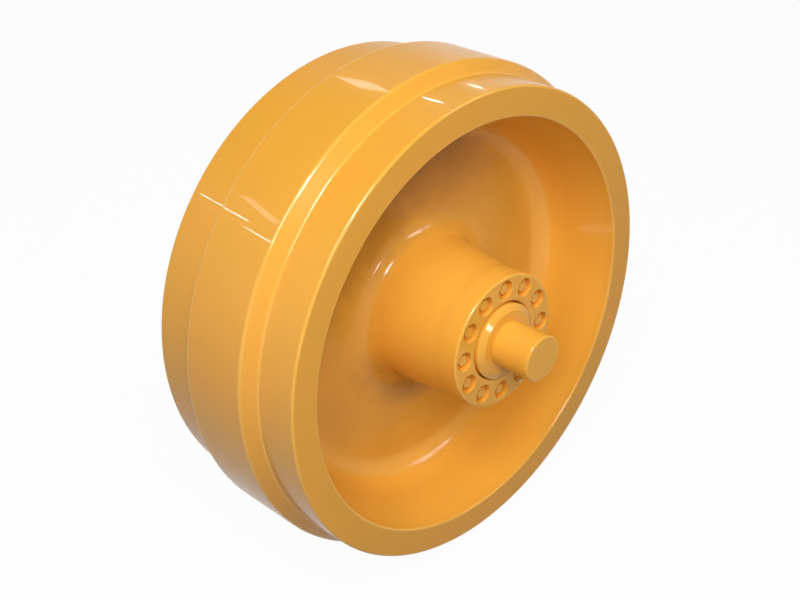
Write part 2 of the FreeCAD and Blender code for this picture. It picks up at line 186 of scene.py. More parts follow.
def round_rings(piece, rings):
    """Rounds rings given as (radius, distance out, radius of the fillet, facets)."""
    for ring in rings:
        round_ring(piece, *ring)


def finish_mesh(piece, sharpest=35):
    """Merges doubles, points every face outwards and shades smoothly, with flat faces kept flat."""
    work_on(piece)
    bpy.ops.object.mode_set(mode="EDIT")
    bpy.ops.mesh.select_all(action="SELECT")
    bpy.ops.mesh.remove_doubles(threshold=0.000001)
    bpy.ops.mesh.normals_make_consistent(inside=False)
    bpy.ops.object.mode_set(mode="OBJECT")
    bpy.ops.object.shade_smooth_by_angle(angle=math.radians(sharpest))
    bpy.ops.object.modifier_add(type="WEIGHTED_NORMAL")
    piece.modifiers[-1].keep_sharp = True
    bpy.ops.object.modifier_apply(modifier=piece.modifiers[-1].name)
    deselect_everything()
    print("%-24s %6d faces" % (piece.name, len(piece.data.polygons)))
    return piece


# %% [markdown]
# ## The wheel casting
# The bar is as wide as the rim. Four cuts across it mark the feet and the top of the guide flange, and
# the band between them is scaled up, which gives the two sloping flanks. Then each end face walks
# inwards: down the rim face, along the drafted dish wall to the web, across the web, and out again
# along the tapered hub to the joint where the carrier is bolted on. The two bore faces are bridged.

# %% Rim, guide flange, dish and hub
wheel = add_bar("wheel", TREAD, -RIM_FACE, RIM_FACE, 288)
for cut in (-FLANGE_FOOT, -FLANGE_TOP, FLANGE_TOP, FLANGE_FOOT):
    work_on(wheel)
    bpy.ops.object.mode_set(mode="EDIT")
    bpy.ops.mesh.select_all(action="SELECT")
    bpy.ops.mesh.bisect(plane_co=(0, cut, 0), plane_no=(0, 1, 0))
choose(wheel, "VERT", lambda point: abs(point.y) < FLANGE_TOP + 0.0001)
bpy.ops.transform.resize(value=(CREST / TREAD, 1, CREST / TREAD), center_override=AXLE_LINE)
for side in (-1, 1):
    walk_end(wheel, side, (TREAD, RIM_FACE), [
        (DISH_MOUTH, RIM_FACE), (DISH_FLOOR, WEB), (HUB_ROOT, WEB), (HUB, RIM_FACE),
        (HUB, JOINT), (HUB_BORE, JOINT), (HUB_BORE, BORE_BRIDGE)])


def open_through(piece, radius, places):
    """Deletes both end faces of a piece and bridges the rings they leave, at those places out."""
    for side in (-1, 1):
        choose_end(piece, side)
        bpy.ops.mesh.delete(type="FACE")
    choose(piece, "EDGE", lambda a, b: all(
        any(on_ring(point, radius, out) for out in places) for point in (a, b)))
    bpy.ops.mesh.bridge_edge_loops()
    bpy.ops.object.mode_set(mode="OBJECT")


open_through(wheel, HUB_BORE, [BORE_BRIDGE])
print("wheel outline:", len(wheel.data.polygons), "faces before the fillets")

# %% Fillets of the casting
round_rings(wheel, [
    (CREST, FLANGE_TOP, 0.0085, 4), (TREAD, FLANGE_FOOT, 0.005, 4),
    (TREAD, RIM_FACE, 0.0045, 5), (DISH_MOUTH, RIM_FACE, 0.0045, 5),
    (DISH_FLOOR, WEB, 0.040, 14), (HUB_ROOT, WEB, 0.038, 14),
    (HUB, RIM_FACE, 0.012, 3), (HUB, JOINT, 0.0008, 2), (HUB_BORE, JOINT, 0.0015, 1)])
finish_mesh(wheel)

# %% [markdown]
# ## The bearing carriers
# A carrier is a flanged sleeve that slides into the hub bore and is pulled against the hub end by
# twelve screws. Its flange has the same diameter as the hub, so only a fine line shows the joint. The
# near one is turned as the wheel was, and the counterbores are then cut into it. Cutting twelve round
# holes into a ring is what the Boolean modifier does best: the cutter is modelled once and copied.

# %% Turn the near carrier
SPIGOT = 0.07995
LIP = 0.071
SEAL_HOUSING = 0.066
SEAL_POCKET_TOP = 0.189
SEAL_SLOPE_FOOT = 0.0632
SEAL_POCKET_FLOOR = 0.174
CARRIER_BORE = 0.051
OIL_ROOM = 0.057
OIL_ROOM_END = 0.170
BUSHING_SEAT = 0.064
BUSHING_END = 0.1404
CARRIER_INNER_END = 0.0304
carrier_near = add_bar("carrier_near", HUB, -HUB_FACE, -JOINT, 192)
walk_end(carrier_near, -1, (HUB, HUB_FACE), [
    (LIP, HUB_FACE), (LIP, SEAL_POCKET_TOP), (SEAL_HOUSING, SEAL_POCKET_TOP),
    (SEAL_SLOPE_FOOT, SEAL_POCKET_FLOOR), (CARRIER_BORE, SEAL_POCKET_FLOOR),
    (CARRIER_BORE, OIL_ROOM_END), (OIL_ROOM, OIL_ROOM_END), (OIL_ROOM, BUSHING_END),
    (BUSHING_SEAT, BUSHING_END)])
walk_end(carrier_near, 1, (HUB, -JOINT), [
    (SPIGOT, -JOINT), (SPIGOT, -CARRIER_INNER_END), (BUSHING_SEAT, -CARRIER_INNER_END)])
open_through(carrier_near, BUSHING_SEAT, [BUSHING_END, CARRIER_INNER_END])
round_rings(carrier_near, [
    (HUB, HUB_FACE, 0.003, 5), (LIP, HUB_FACE, 0.0065, 6), (HUB, JOINT, 0.0008, 2),
    (SEAL_SLOPE_FOOT, SEAL_POCKET_FLOOR, 0.003, 4), (SPIGOT, CARRIER_INNER_END, 0.0015, 2)])
print("carrier turned:", len(carrier_near.data.polygons), "faces")

# %% Copy and join pieces, and set them round the bolt circle
BOLT_CIRCLE = 0.098
SCREWS = 12
print("one screw every %.0f degrees" % (360 / SCREWS))


def copy_piece(piece, name, place=(0, 0, 0)):
    """A copy with its own mesh."""
    work_on(piece)
    bpy.ops.object.duplicate(linked=False)
    twin = bpy.context.object
    twin.name = twin.data.name = name
    twin.location = place
    return twin


def join_pieces(pieces, name):
    deselect_everything()
    for piece in pieces:
        piece.select_set(True)
    bpy.context.view_layer.objects.active = pieces[0]
    bpy.ops.object.transform_apply(location=True, rotation=True, scale=True)
    bpy.ops.object.join()
    joined = bpy.context.object
    joined.name = joined.data.name = name
    return joined


def round_the_bolt_circle(piece, name, turn=0):
    """Joins twelve copies of a piece that stands on the axle line, each turned on a little."""
    copies = []
    for place in range(SCREWS):
        angle = 2 * math.pi * place / SCREWS
        where = (BOLT_CIRCLE * math.sin(angle), 0, BOLT_CIRCLE * math.cos(angle))
        twin = copy_piece(piece, "%s_%d" % (name, place), where)
        twin.rotation_euler.y = angle + math.radians(turn * place)
        copies.append(twin)
    bpy.data.objects.remove(piece)
    return join_pieces(copies, name)


# %% A cutter for the counterbores
COUNTERBORE = 0.0165
MOUTH_CHAMFER = 0.0009
SCREW_SEAT = 0.2072
SCREW_HOLE = 0.00675
BEYOND = 0.002  # how far a cutter reaches past the metal
PLAY = 0.0001  # how far the cutter's wide top bites into the face round each mouth
cutter_top = COUNTERBORE + MOUTH_CHAMFER + BEYOND
cutter = add_bar("counterbore_cutter", cutter_top, -HUB_FACE - BEYOND, -HUB_FACE + PLAY, 48)
walk_end(cutter, 1, (cutter_top, -HUB_FACE), [
    (COUNTERBORE + MOUTH_CHAMFER, -HUB_FACE - PLAY), (COUNTERBORE, -HUB_FACE + MOUTH_CHAMFER),
    (COUNTERBORE, -SCREW_SEAT), (SCREW_HOLE, -SCREW_SEAT), (SCREW_HOLE, -JOINT + BEYOND)])
print("cutter", len(cutter.data.polygons), "faces")
cutters = round_the_bolt_circle(cutter, "counterbore_cutters")


# %% Cut the counterbores and mirror the carrier to the far end
def cut_with(piece, tool, operation="DIFFERENCE"):
    """Applies a Boolean modifier with the tool, and takes the tool away."""
    work_on(piece)
    bpy.ops.object.modifier_add(type="BOOLEAN")
    cut = piece.modifiers[-1]
    cut.operation = operation
    cut.solver = "EXACT"
    cut.object = tool
    bpy.ops.object.modifier_apply(modifier=cut.name)
    bpy.data.objects.remove(tool)
    print(piece.name, "cut:", len(piece.data.polygons), "faces")


def mirrored_to_far_end(piece, name, sharpest=35):
    """The far end's copy: turned inside out by the mirror, so its faces are pointed outwards again."""
    twin = copy_piece(piece, name)
    twin.scale = (1, -1, 1)
    work_on(twin)
    bpy.ops.object.transform_apply(location=True, rotation=True, scale=True)
    return finish_mesh(twin, sharpest)


cut_with(carrier_near, cutters)
finish_mesh(carrier_near)
carrier_far = mirrored_to_far_end(carrier_near, "carrier_far")

# %% [markdown]
# ## The screws
# Each counterbore holds a hexagon head screw, and is wide enough for the wall of a wrench socket. The
# head lies a few millimetres below the face. Such a head is forged six-sided and its top is then turned
# off at 30 degrees, which leaves a round face with six arched corners. Here it goes the other way round:
# the screw is turned with its sloping top first, and a six-sided bar is intersected with it, so the
# arches come by themselves. Screws never stop at the same angle, so each copy is turned on a little.

# %% One screw, made six-sided, and twelve of them at each end
HEAD_TOP = 0.2147
HEAD_TOP_CIRCLE = 0.00855
HEAD_BLANK = 0.0115  # a little wider than the hexagon's corners
HEAD_SLOPE = math.radians(30)
HEAD_ACROSS_FLATS = 0.018
SHANK = 0.006
SCREW_TIP = 0.1622
TIP_CHAMFER = 0.0012
OVERHANG = 0.001


def hexagon_corner(across_flats):
    """The radius of the corners of a six-sided bar."""
    return across_flats / 2 / math.cos(math.radians(30))


slope_foot = HEAD_TOP - (HEAD_BLANK - HEAD_TOP_CIRCLE) * math.tan(HEAD_SLOPE)
screw = add_bar("screw", HEAD_BLANK, -slope_foot, -SCREW_SEAT, 48)
walk_end(screw, -1, (HEAD_BLANK, slope_foot), [(HEAD_TOP_CIRCLE, HEAD_TOP)])
walk_end(screw, 1, (HEAD_BLANK, -SCREW_SEAT), [
    (SHANK, -SCREW_SEAT), (SHANK, -SCREW_TIP - TIP_CHAMFER), (SHANK - TIP_CHAMFER, -SCREW_TIP)])
hexagon = add_bar("hexagon", hexagon_corner(HEAD_ACROSS_FLATS),
                  -HEAD_TOP - OVERHANG, -SCREW_TIP + OVERHANG, 6)
hexagon.rotation_euler.y = math.radians(30)
cut_with(screw, hexagon, "INTERSECT")
screws_near = finish_mesh(round_the_bolt_circle(screw, "screws_near", 25), 20)
screws_far = mirrored_to_far_end(screws_near, "screws_far", 20)

# %% [markdown]
# ## The seal collars
# A ring pinned on the axle closes the carrier's bore. It stands proud of the hub face, and its
# shoulder is turned off at a slope so that grit falls away. Behind the shoulder it is hollow, for the
# standing half of the face seal. It is walked from both its ends, as the carrier was.

# %% Turn the near collar
COLLAR = 0.069
COLLAR_FACE = 0.228
SHOULDER = COLLAR_FACE - 0.0065
SHOULDER_TOP = COLLAR - 0.0103
COLLAR_LIP = COLLAR_FACE - 0.006
COLLAR_MOUTH = 0.1905
COLLAR_POCKET = 0.0653
COLLAR_POCKET_FLOOR = 0.202
JOURNAL = 0.0415
COLLAR_SEAT = 0.045
SLIDE = 0.00003  # the play of the collar on the axle
collar_near = add_bar("collar_near", COLLAR, -SHOULDER, -COLLAR_MOUTH, 160)
walk_end(collar_near, -1, (COLLAR, SHOULDER), [
    (SHOULDER_TOP, COLLAR_FACE), (JOURNAL + SLIDE, COLLAR_FACE), (JOURNAL + SLIDE, COLLAR_LIP),
    (COLLAR_SEAT + SLIDE, COLLAR_LIP)])
walk_end(collar_near, 1, (COLLAR, -COLLAR_MOUTH), [
    (COLLAR_POCKET, -COLLAR_MOUTH), (SEAL_SLOPE_FOOT, -COLLAR_POCKET_FLOOR),
    (COLLAR_SEAT + SLIDE, -COLLAR_POCKET_FLOOR)])
open_through(collar_near, COLLAR_SEAT + SLIDE, [COLLAR_LIP, COLLAR_POCKET_FLOOR])
round_rings(collar_near, [
    (COLLAR, SHOULDER, 0.0008, 3), (SHOULDER_TOP, COLLAR_FACE, 0.0008, 3),
    (COLLAR, COLLAR_MOUTH, 0.0008, 2), (SEAL_SLOPE_FOOT, COLLAR_POCKET_FLOOR, 0.003, 3)])
finish_mesh(collar_near, 30)
collar_far = mirrored_to_far_end(collar_near, "collar_far")

# %% [markdown]
# ## The axle
# The axle stands still in the track frame and the wheel turns round it. It is turned from one bar:
# thickest in the middle, where a flange takes the side load, then the two bearing seats, the collar
# seats and the two journals that the frame clamps. The far end has a spot face for the oil plug, and
# an oil hole behind it. Both are walked inwards from the end face, so no Boolean is needed.

# %% Turn the axle and sink the spot face
THRUST = 0.074
THRUST_FACE = 0.022
BEARING = 0.055
BEARING_END = 0.166
COLLAR_SEAT_END = 0.222
RELIEF = 0.0005  # how much thinner the axle is under the collar's lip
RELIEF_END = 0.229
AXLE_END = 0.305
SPOT_FACE = 0.013
SPOT_CHAMFER = 0.0008
SPOT_FLOOR = AXLE_END - 0.007
PLUG_HOLE = 0.00835
PLUG_HOLE_END = AXLE_END - 0.026
DRILL_CONE = 0.0025
OIL_HOLE = 0.005
OIL_HOLE_END = -0.005
axle = add_bar("axle_bar", THRUST, -THRUST_FACE, THRUST_FACE, 128)
for side in (-1, 1):
    walk_end(axle, side, (THRUST, THRUST_FACE), [
        (BEARING, THRUST_FACE), (BEARING, BEARING_END), (COLLAR_SEAT, BEARING_END),
        (COLLAR_SEAT, COLLAR_SEAT_END), (JOURNAL - RELIEF, COLLAR_SEAT_END),
        (JOURNAL - RELIEF, RELIEF_END - RELIEF), (JOURNAL, RELIEF_END), (JOURNAL, AXLE_END)])
walk_end(axle, 1, (JOURNAL, AXLE_END), [
    (SPOT_FACE + SPOT_CHAMFER, AXLE_END), (SPOT_FACE, AXLE_END - SPOT_CHAMFER), (SPOT_FACE, SPOT_FLOOR),
    (PLUG_HOLE, SPOT_FLOOR), (PLUG_HOLE, PLUG_HOLE_END), (OIL_HOLE, PLUG_HOLE_END - DRILL_CONE),
    (OIL_HOLE, OIL_HOLE_END)])
round_rings(axle, [
    (JOURNAL, AXLE_END, 0.004, 6), (THRUST, THRUST_FACE, 0.0015, 2), (BEARING, BEARING_END, 0.0015, 2)])
finish_mesh(axle, 30)

# %% [markdown]
# ## The oil plug
# The plug closes the oil hole after filling. It is a short screw with a flat round head and a
# six-sided key hole. Its thread is never seen, so a plain cylinder stands for it. The key hole is a
# six-sided bar taken out of the head with the Boolean modifier.

# %% The oil plug in the far end
PLUG_HEAD = 0.011
PLUG_HEAD_HEIGHT = 0.004
WASHER_THICKNESS = 0.0015
PLUG_SEAT = SPOT_FLOOR + WASHER_THICKNESS
PLUG_TOP = PLUG_SEAT + PLUG_HEAD_HEIGHT
PLUG_SHANK = 0.0083
PLUG_TIP = AXLE_END - 0.019
PLUG_CHAMFER = 0.0008
KEY_ACROSS_FLATS = 0.008
KEY_DEPTH = 0.007
plug = add_bar("oil_plug_head", PLUG_HEAD, PLUG_SEAT, PLUG_TOP, 64)
walk_end(plug, -1, (PLUG_HEAD, -PLUG_SEAT), [
    (PLUG_SHANK, -PLUG_SEAT), (PLUG_SHANK, -PLUG_TIP - PLUG_CHAMFER),
    (PLUG_SHANK - PLUG_CHAMFER, -PLUG_TIP)])
key_hole = add_bar("key_hole", hexagon_corner(KEY_ACROSS_FLATS),
                   PLUG_TOP - KEY_DEPTH, PLUG_TOP + BEYOND, 6)
cut_with(plug, key_hole)
round_ring(plug, PLUG_HEAD, PLUG_TOP, PLUG_CHAMFER, 3)
finish_mesh(plug, 40)

# %% [markdown]
# ## Paint
# The whole idler wears one coat of glossy alkyd paint. Such a coat is never a mirror: it has a very
# fine orange peel, it follows the wave of the casting, and its colour drifts a little from place to
# place. Light and shade are also painted into its colour: a glow in the hollows, a highlight on the
# edges and shade in the web. Each of these is a group of nodes with named sockets that gives a value
# or a colour, so that the cast and the machined faces share the effects, each at its own strength.
# The shader stays in the material, with its plain numbers on its own sockets.

# %% Start a material or a node group
def new_material(name):
    """A material with only its Principled shader and output left in it."""
    material = bpy.data.materials.new(name)
    material.use_nodes = True
    nodes = material.node_tree.nodes
    nodes.clear()
    shader = nodes.new("ShaderNodeBsdfPrincipled")
    output = nodes.new("ShaderNodeOutputMaterial")
    material.node_tree.links.new(shader.outputs["BSDF"], output.inputs["Surface"])
    return material, shader


def new_group(name, inputs, outputs):
    """An empty node group with named sockets: (name, kind, value) in, (name, kind) out."""
    group = bpy.data.node_groups.new(name, "ShaderNodeTree")
    for socket, kind, value in inputs:
        group.interface.new_socket(socket, in_out="INPUT", socket_type=kind).default_value = value
    for socket, kind in outputs:
        group.interface.new_socket(socket, in_out="OUTPUT", socket_type=kind)
    return group, group.nodes.new("NodeGroupInput"), group.nodes.new("NodeGroupOutput")


def use_group(tree, group, place):
    """A group put into a material, reading its pattern at the place given."""
    node = tree.nodes.new("ShaderNodeGroup")
    node.node_tree = group
    tree.links.new(place, node.inputs["Place"])
    return node


# %% Reckon with values
def maths(tree, kind, *values):
    """Numbers or sockets, taken together one after another by Math nodes of one kind."""
    result = values[0]
    for value in values[1:]:
        node = tree.nodes.new("ShaderNodeMath")
        node.operation = kind
        for socket, side in zip(node.inputs, (result, value)):
            if isinstance(side, (int, float)):
                socket.default_value = side
            else:
                tree.links.new(side, socket)
        result = node.outputs["Value"]
    return result


def spread(tree, value, low, high, new_low, new_high):
    """Maps one range of a value to another, clamped."""
    node = tree.nodes.new("ShaderNodeMapRange")
    for socket, number in (
            ("From Min", low), ("From Max", high), ("To Min", new_low), ("To Max", new_high)):
        node.inputs[socket].default_value = number
    tree.links.new(value, node.inputs["Value"])
    return node.outputs["Result"]


def from_axle_line(tree, place):
    """How far a place lies from the axle line, and its X, Y and Z as sockets."""
    split = tree.nodes.new("ShaderNodeSeparateXYZ")
    tree.links.new(place, split.inputs["Vector"])
    squares = [maths(tree, "POWER", split.outputs[name], 2.0) for name in ("X", "Z")]
    return maths(tree, "POWER", maths(tree, "ADD", *squares), 0.5), split.outputs


# %% Patterns, colours and bumps
def cloudy(tree, place, scale, detail, roughness=0.5):
    """A soft cloud pattern read at the place given."""
    noise = tree.nodes.new("ShaderNodeTexNoise")
    noise.inputs["Scale"].default_value = scale
    noise.inputs["Detail"].default_value = detail
    noise.inputs["Roughness"].default_value = roughness
    tree.links.new(place, noise.inputs["Vector"])
    return noise.outputs["Fac"]


def blend_colour(tree, amount, under, over):
    """One colour over another by an amount from 0 to 1."""
    node = tree.nodes.new("ShaderNodeMix")
    node.data_type = "RGBA"
    colours = [socket for socket in node.inputs if socket.type == "RGBA"]
    tree.links.new(amount, node.inputs["Factor"])
    tree.links.new(under, colours[0])
    colours[1].default_value = over
    return next(socket for socket in node.outputs if socket.type == "RGBA")


def shade_colour(tree, shader, colour, brightness):
    """A plain base colour, brighter and darker from place to place."""
    tint = tree.nodes.new("ShaderNodeHueSaturation")
    tint.inputs["Color"].default_value = (*colour, 1)
    tree.links.new(brightness, tint.inputs["Value"])
    tree.links.new(tint.outputs["Color"], shader.inputs["Base Color"])


def bump_surface(tree, shader, height, distance, strength=1.0):
    """Lets the light see a height, of so many metres, without moving the surface."""
    bump = tree.nodes.new("ShaderNodeBump")
    bump.inputs["Distance"].default_value = distance
    bump.inputs["Strength"].default_value = strength
    tree.links.new(height, bump.inputs["Height"])
    tree.links.new(bump.outputs["Normal"], shader.inputs["Normal"])


# %% [markdown]
# ## The skin and the tone of the paint
# Orange peel and the wave of the casting could be modelled, but they are far too low to show in the
# outline. So they are a height for a bump: two cloud patterns, one of a few millimetres and one of
# about a hand's width. The tone is a third pattern. It makes the colour a touch lighter and redder
# here, and darker and yellower there, as where a spray gun passed twice. A fine fourth one makes the
# sheen uneven.

# %% The height of the paint: orange peel and the wave of the casting
FLOAT, COLOUR, VECTOR = "NodeSocketFloat", "NodeSocketColor", "NodeSocketVector"
PLACE_SOCKET = ("Place", VECTOR, (0, 0, 0))
peel_group, peel_in, peel_out = new_group(
    "paint_skin", [PLACE_SOCKET, ("Peel", FLOAT, 1.0), ("Wave", FLOAT, 1.0)], [("Height", FLOAT)])
peel = cloudy(peel_group, peel_in.outputs["Place"], 420, 2)
wave = cloudy(peel_group, peel_in.outputs["Place"], 11, 3)
peel_height = maths(peel_group, "MULTIPLY", peel, peel_in.outputs["Peel"])
wave_height = maths(peel_group, "MULTIPLY", wave, peel_in.outputs["Wave"])
peel_group.links.new(maths(peel_group, "ADD", peel_height, wave_height), peel_out.inputs["Height"])

# %% The tone of the paint: slow drift of colour from place to place
BRIGHTER = 0.035
REDDER = -0.003
tone_group, tone_in, tone_out = new_group(
    "paint_tone",
    [PLACE_SOCKET, ("Colour", COLOUR, (0.8, 0.4, 0.05, 1)), ("Drift", FLOAT, 1.0)],
    [("Colour", COLOUR), ("Gloss", FLOAT)])
drift = spread(tone_group, cloudy(tone_group, tone_in.outputs["Place"], 5.5, 4, 0.55), 0.3, 0.7, -1, 1)
amount = maths(tone_group, "MULTIPLY", drift, tone_in.outputs["Drift"])
value = maths(tone_group, "ADD", maths(tone_group, "MULTIPLY", amount, BRIGHTER), 1.0)
hue = maths(tone_group, "ADD", maths(tone_group, "MULTIPLY", amount, REDDER), 0.5)
lighter = tone_group.nodes.new("ShaderNodeHueSaturation")
tone_group.links.new(tone_in.outputs["Colour"], lighter.inputs["Color"])
tone_group.links.new(value, lighter.inputs["Value"])
tone_group.links.new(hue, lighter.inputs["Hue"])
tone_group.links.new(lighter.outputs["Color"], tone_out.inputs["Colour"])
fine = cloudy(tone_group, tone_in.outputs["Place"], 60, 3)
tone_group.links.new(spread(tone_group, fine, 0.3, 0.7, 0.0, 0.05), tone_out.inputs["Gloss"])
print("groups:", [group.name for group in bpy.data.node_groups])

# %% [markdown]
# ## Where on the wheel a spot of paint lies
# Some places get painted light and shade: a glow in the fillets, where light bounces round the dish,
# a highlight along the rounded edges, and a darker brown shade in the web, most of it above the hub on
# the left and below the hub. The rounded edges also hold more gloss. These places could be painted by
# hand as a mask. On a round piece it is simpler to reckon them: two numbers, the distance from the
# axle and the distance out from the middle of the wheel, say which face or corner a spot belongs to.
# The group gives one value between 0 and 1 for each kind of place, and the pattern turns with the wheel.

# %% A mask for a ring round the axle
def ring_mask(tree, radius, out, ring_radius, ring_out, reach):
    """1 on a ring round the axle at both ends, fading to 0 at the reach."""
    away = maths(tree, "SUBTRACT", radius, ring_radius)
    along = maths(tree, "SUBTRACT", out, ring_out)
    squares = [maths(tree, "MULTIPLY", side, side) for side in (away, along)]
    distance = maths(tree, "POWER", maths(tree, "ADD", *squares), 0.5)
    return spread(tree, distance, reach * 0.35, reach, 1, 0)


def rings_mask(tree, radius, out, rings):
    """The strongest of several ring masks, given as (radius, distance out, reach)."""
    return maths(tree, "MAXIMUM", *[ring_mask(tree, radius, out, *ring) for ring in rings])


# %% The fillets, the rounded edges, the cast dish and the bare web
FILLET_RINGS = [(0.335, 0.032, 0.055), (0.150, 0.036, 0.045)]
EDGE_RINGS = [
    (CREST, FLANGE_TOP, 0.005), (TREAD, FLANGE_FOOT, 0.004), (TREAD, RIM_FACE, 0.005),
    (DISH_MOUTH, RIM_FACE, 0.005), (HUB, HUB_FACE, 0.004), (LIP, HUB_FACE, 0.008)]
place_group, place_in, place_out = new_group(
    "place_on_wheel", [PLACE_SOCKET],
    [("Fillets", FLOAT), ("Edges", FLOAT), ("Web", FLOAT), ("Cast", FLOAT), ("Haze", FLOAT)])
radius, (x_place, y_place, z_place) = from_axle_line(place_group, place_in.outputs["Place"])
out = maths(place_group, "ABSOLUTE", y_place, 0.0)
fillets = rings_mask(place_group, radius, out, FILLET_RINGS)
edges = rings_mask(place_group, radius, out, EDGE_RINGS)
close_to_web = spread(place_group, out, 0.020, 0.045, 1, 0)
inside_dish = spread(place_group, radius, 0.300, 0.345, 1, 0)
web = maths(place_group, "MULTIPLY", close_to_web, inside_dish)
bare_web = maths(place_group, "MULTIPLY", web, maths(place_group, "SUBTRACT", 1.0, fillets))
cast = spread(place_group, radius, 0.372, 0.380, 1, 0)

# %% Painted shade in the web: broken streaks, strongest above the hub on the left, where the rim shades it, and under the hub
# Painted shade: the web turns darker and browner where the rim shades it from the upper left, and under
# the hub.
upper_left = maths(place_group, "ADD", maths(place_group, "MULTIPLY", z_place, 0.8),
                   maths(place_group, "MULTIPLY", x_place, -0.5))
above_hub = maths(place_group, "MULTIPLY", spread(place_group, upper_left, 0.06, 0.24, 0.2, 1), web)
under_hub = maths(place_group, "MULTIPLY", ring_mask(place_group, radius, out, 0.150, 0.045, 0.075),
                  spread(place_group, z_place, -0.11, -0.02, 1, 0))
streaks = cloudy(place_group, place_in.outputs["Place"], 9, 5, 0.6)
painted_shade = maths(place_group, "MULTIPLY", maths(place_group, "MAXIMUM", above_hub, under_hub),
             spread(place_group, streaks, 0.36, 0.64, 0.35, 1))
for name, mask in (
        ("Fillets", fillets), ("Edges", edges), ("Web", bare_web), ("Cast", cast), ("Haze", painted_shade)):
    place_group.links.new(mask, place_out.inputs[name])
print("masks:", [socket.name for socket in place_out.inputs if socket.name])

# %% [markdown]
# ## The paint itself
# The colour is mixed in layers: the drifting base tone; a brighter, richer one in the dish and most of
# all in its fillets, a painted glow that stands in for light bouncing round the dish; a painted brown
# shade over that; and a lighter, warmer one along the edges, a painted highlight. The gloss is the
# shader's clear coat. It is stronger on the rounded edges, and weaker on the web and on all faces that
# look along the axle. A plain coat would turn milky where it is seen at a glancing angle, so its index
# is high and its weight low: the lamps still show crisply on it, and the pale floor shows less.

# %% One coat for cast and machined surfaces
ORANGE_YELLOW = (0.86, 0.40, 0.045)
# The next three colours are painted light and shade: a glow for the dish and its fillets, where light
# bounces, a darker brown for the shade in the web, and a highlight for the rounded edges.
BOUNCE_GLOW_TONE = (1.0, 0.50, 0.065, 1)
PAINTED_SHADE_BROWN = (0.28, 0.14, 0.030, 1)
EDGE_HIGHLIGHT_TONE = (1.0, 0.56, 0.08, 1)
GLOSS = 0.11


def glossy_paint(name, colour, peel_strength, wave_strength, roughness):
    """One coat of machine paint; cast and machined surfaces differ in how flat the metal under it is."""
    material, shader = new_material(name)
    tree = material.node_tree
    coordinates = tree.nodes.new("ShaderNodeTexCoord")
    place = coordinates.outputs["Object"]
    where = use_group(tree, place_group, place).outputs

    skin = use_group(tree, peel_group, place)
    skin.inputs["Peel"].default_value = peel_strength
    tree.links.new(maths(tree, "MULTIPLY", where["Cast"], wave_strength), skin.inputs["Wave"])
    bump_surface(tree, shader, skin.outputs["Height"], 0.001)

    tone = use_group(tree, tone_group, place)
    tone.inputs["Colour"].default_value = (*colour, 1)
    # Painted glow: the dish, and most of all its fillets, turn brighter and richer, standing in for
    # light that bounces round the dish.
    painted_glow = maths(tree, "ADD", maths(tree, "MULTIPLY", where["Cast"], 0.5),
                  maths(tree, "MULTIPLY", where["Fillets"], 0.5))
    painted = blend_colour(tree, painted_glow, tone.outputs["Colour"], BOUNCE_GLOW_TONE)
    # Painted shade: darker and browner in the web above the hub on the left, where the rim shades it,
    # and under the hub.
    painted = blend_colour(tree, maths(tree, "MULTIPLY", where["Haze"], 0.68), painted, PAINTED_SHADE_BROWN)
    # Painted highlight: lighter and warmer along the rounded edges.
    painted = blend_colour(tree, maths(tree, "MULTIPLY", where["Edges"], 0.4), painted, EDGE_HIGHLIGHT_TONE)
    tree.links.new(painted, shader.inputs["Base Color"])
    tree.links.new(maths(tree, "ADD", tone.outputs["Gloss"], roughness), shader.inputs["Roughness"])

    facing = tree.nodes.new("ShaderNodeSeparateXYZ")
    tree.links.new(coordinates.outputs["Normal"], facing.inputs["Vector"])
    along_axle = maths(tree, "ABSOLUTE", facing.outputs["Y"], 0.0)
    on_edges = maths(tree, "ADD", GLOSS, maths(tree, "MULTIPLY", where["Edges"], GLOSS))
    gloss = maths(tree, "MULTIPLY", on_edges, spread(tree, along_axle, 0.70, 0.97, 1, 0.45),
                  spread(tree, where["Web"], 0, 1, 1, 0.5))
    tree.links.new(gloss, shader.inputs["Coat Weight"])
    shader.inputs["Specular IOR Level"].default_value = 0.10
    shader.inputs["Coat Roughness"].default_value = 0.03
    shader.inputs["Coat IOR"].default_value = 2.5
    print(name, len(tree.nodes), "nodes")
    return material


cast_paint = glossy_paint("idler_paint_cast", ORANGE_YELLOW, 0.006, 1.0, 0.22)
machined_paint = glossy_paint("idler_paint_machined", ORANGE_YELLOW, 0.004, 0.15, 0.20)

# %% [markdown]
# ## Hidden metals and rubber
# Inside the hub there are bronze bushings, lapped iron seal rings, rubber rings, steel pins and a
# copper washer. They never show in the picture, but whoever takes the wheel apart sees them, so each
# gets its own finish: turned metal has fine rings round the axle, which come from a cloud pattern that
# is read by the distance from the axle, so it is the same all the way round. Rubber has a fine grain.

# %% Turned metal and rubber
def turned_metal(name, colour, roughness, ring_strength):
    material, shader = new_material(name)
    tree = material.node_tree
    place = tree.nodes.new("ShaderNodeTexCoord").outputs["Object"]
    radius, (_, out, _) = from_axle_line(tree, place)
    rings = tree.nodes.new("ShaderNodeCombineXYZ")
    tree.links.new(radius, rings.inputs["X"])
    tree.links.new(out, rings.inputs["Y"])
    marks = cloudy(tree, rings.outputs["Vector"], 900, 3)
    patches = cloudy(tree, place, 30, 4)
    bump_surface(tree, shader, marks, 0.0004, ring_strength)
    shade_colour(tree, shader, colour, spread(tree, patches, 0.3, 0.7, 0.9, 1.08))
    marked = spread(tree, marks, 0.3, 0.7, roughness - 0.06, roughness + 0.08)
    tree.links.new(marked, shader.inputs["Roughness"])
    shader.inputs["Metallic"].default_value = 1
    return material


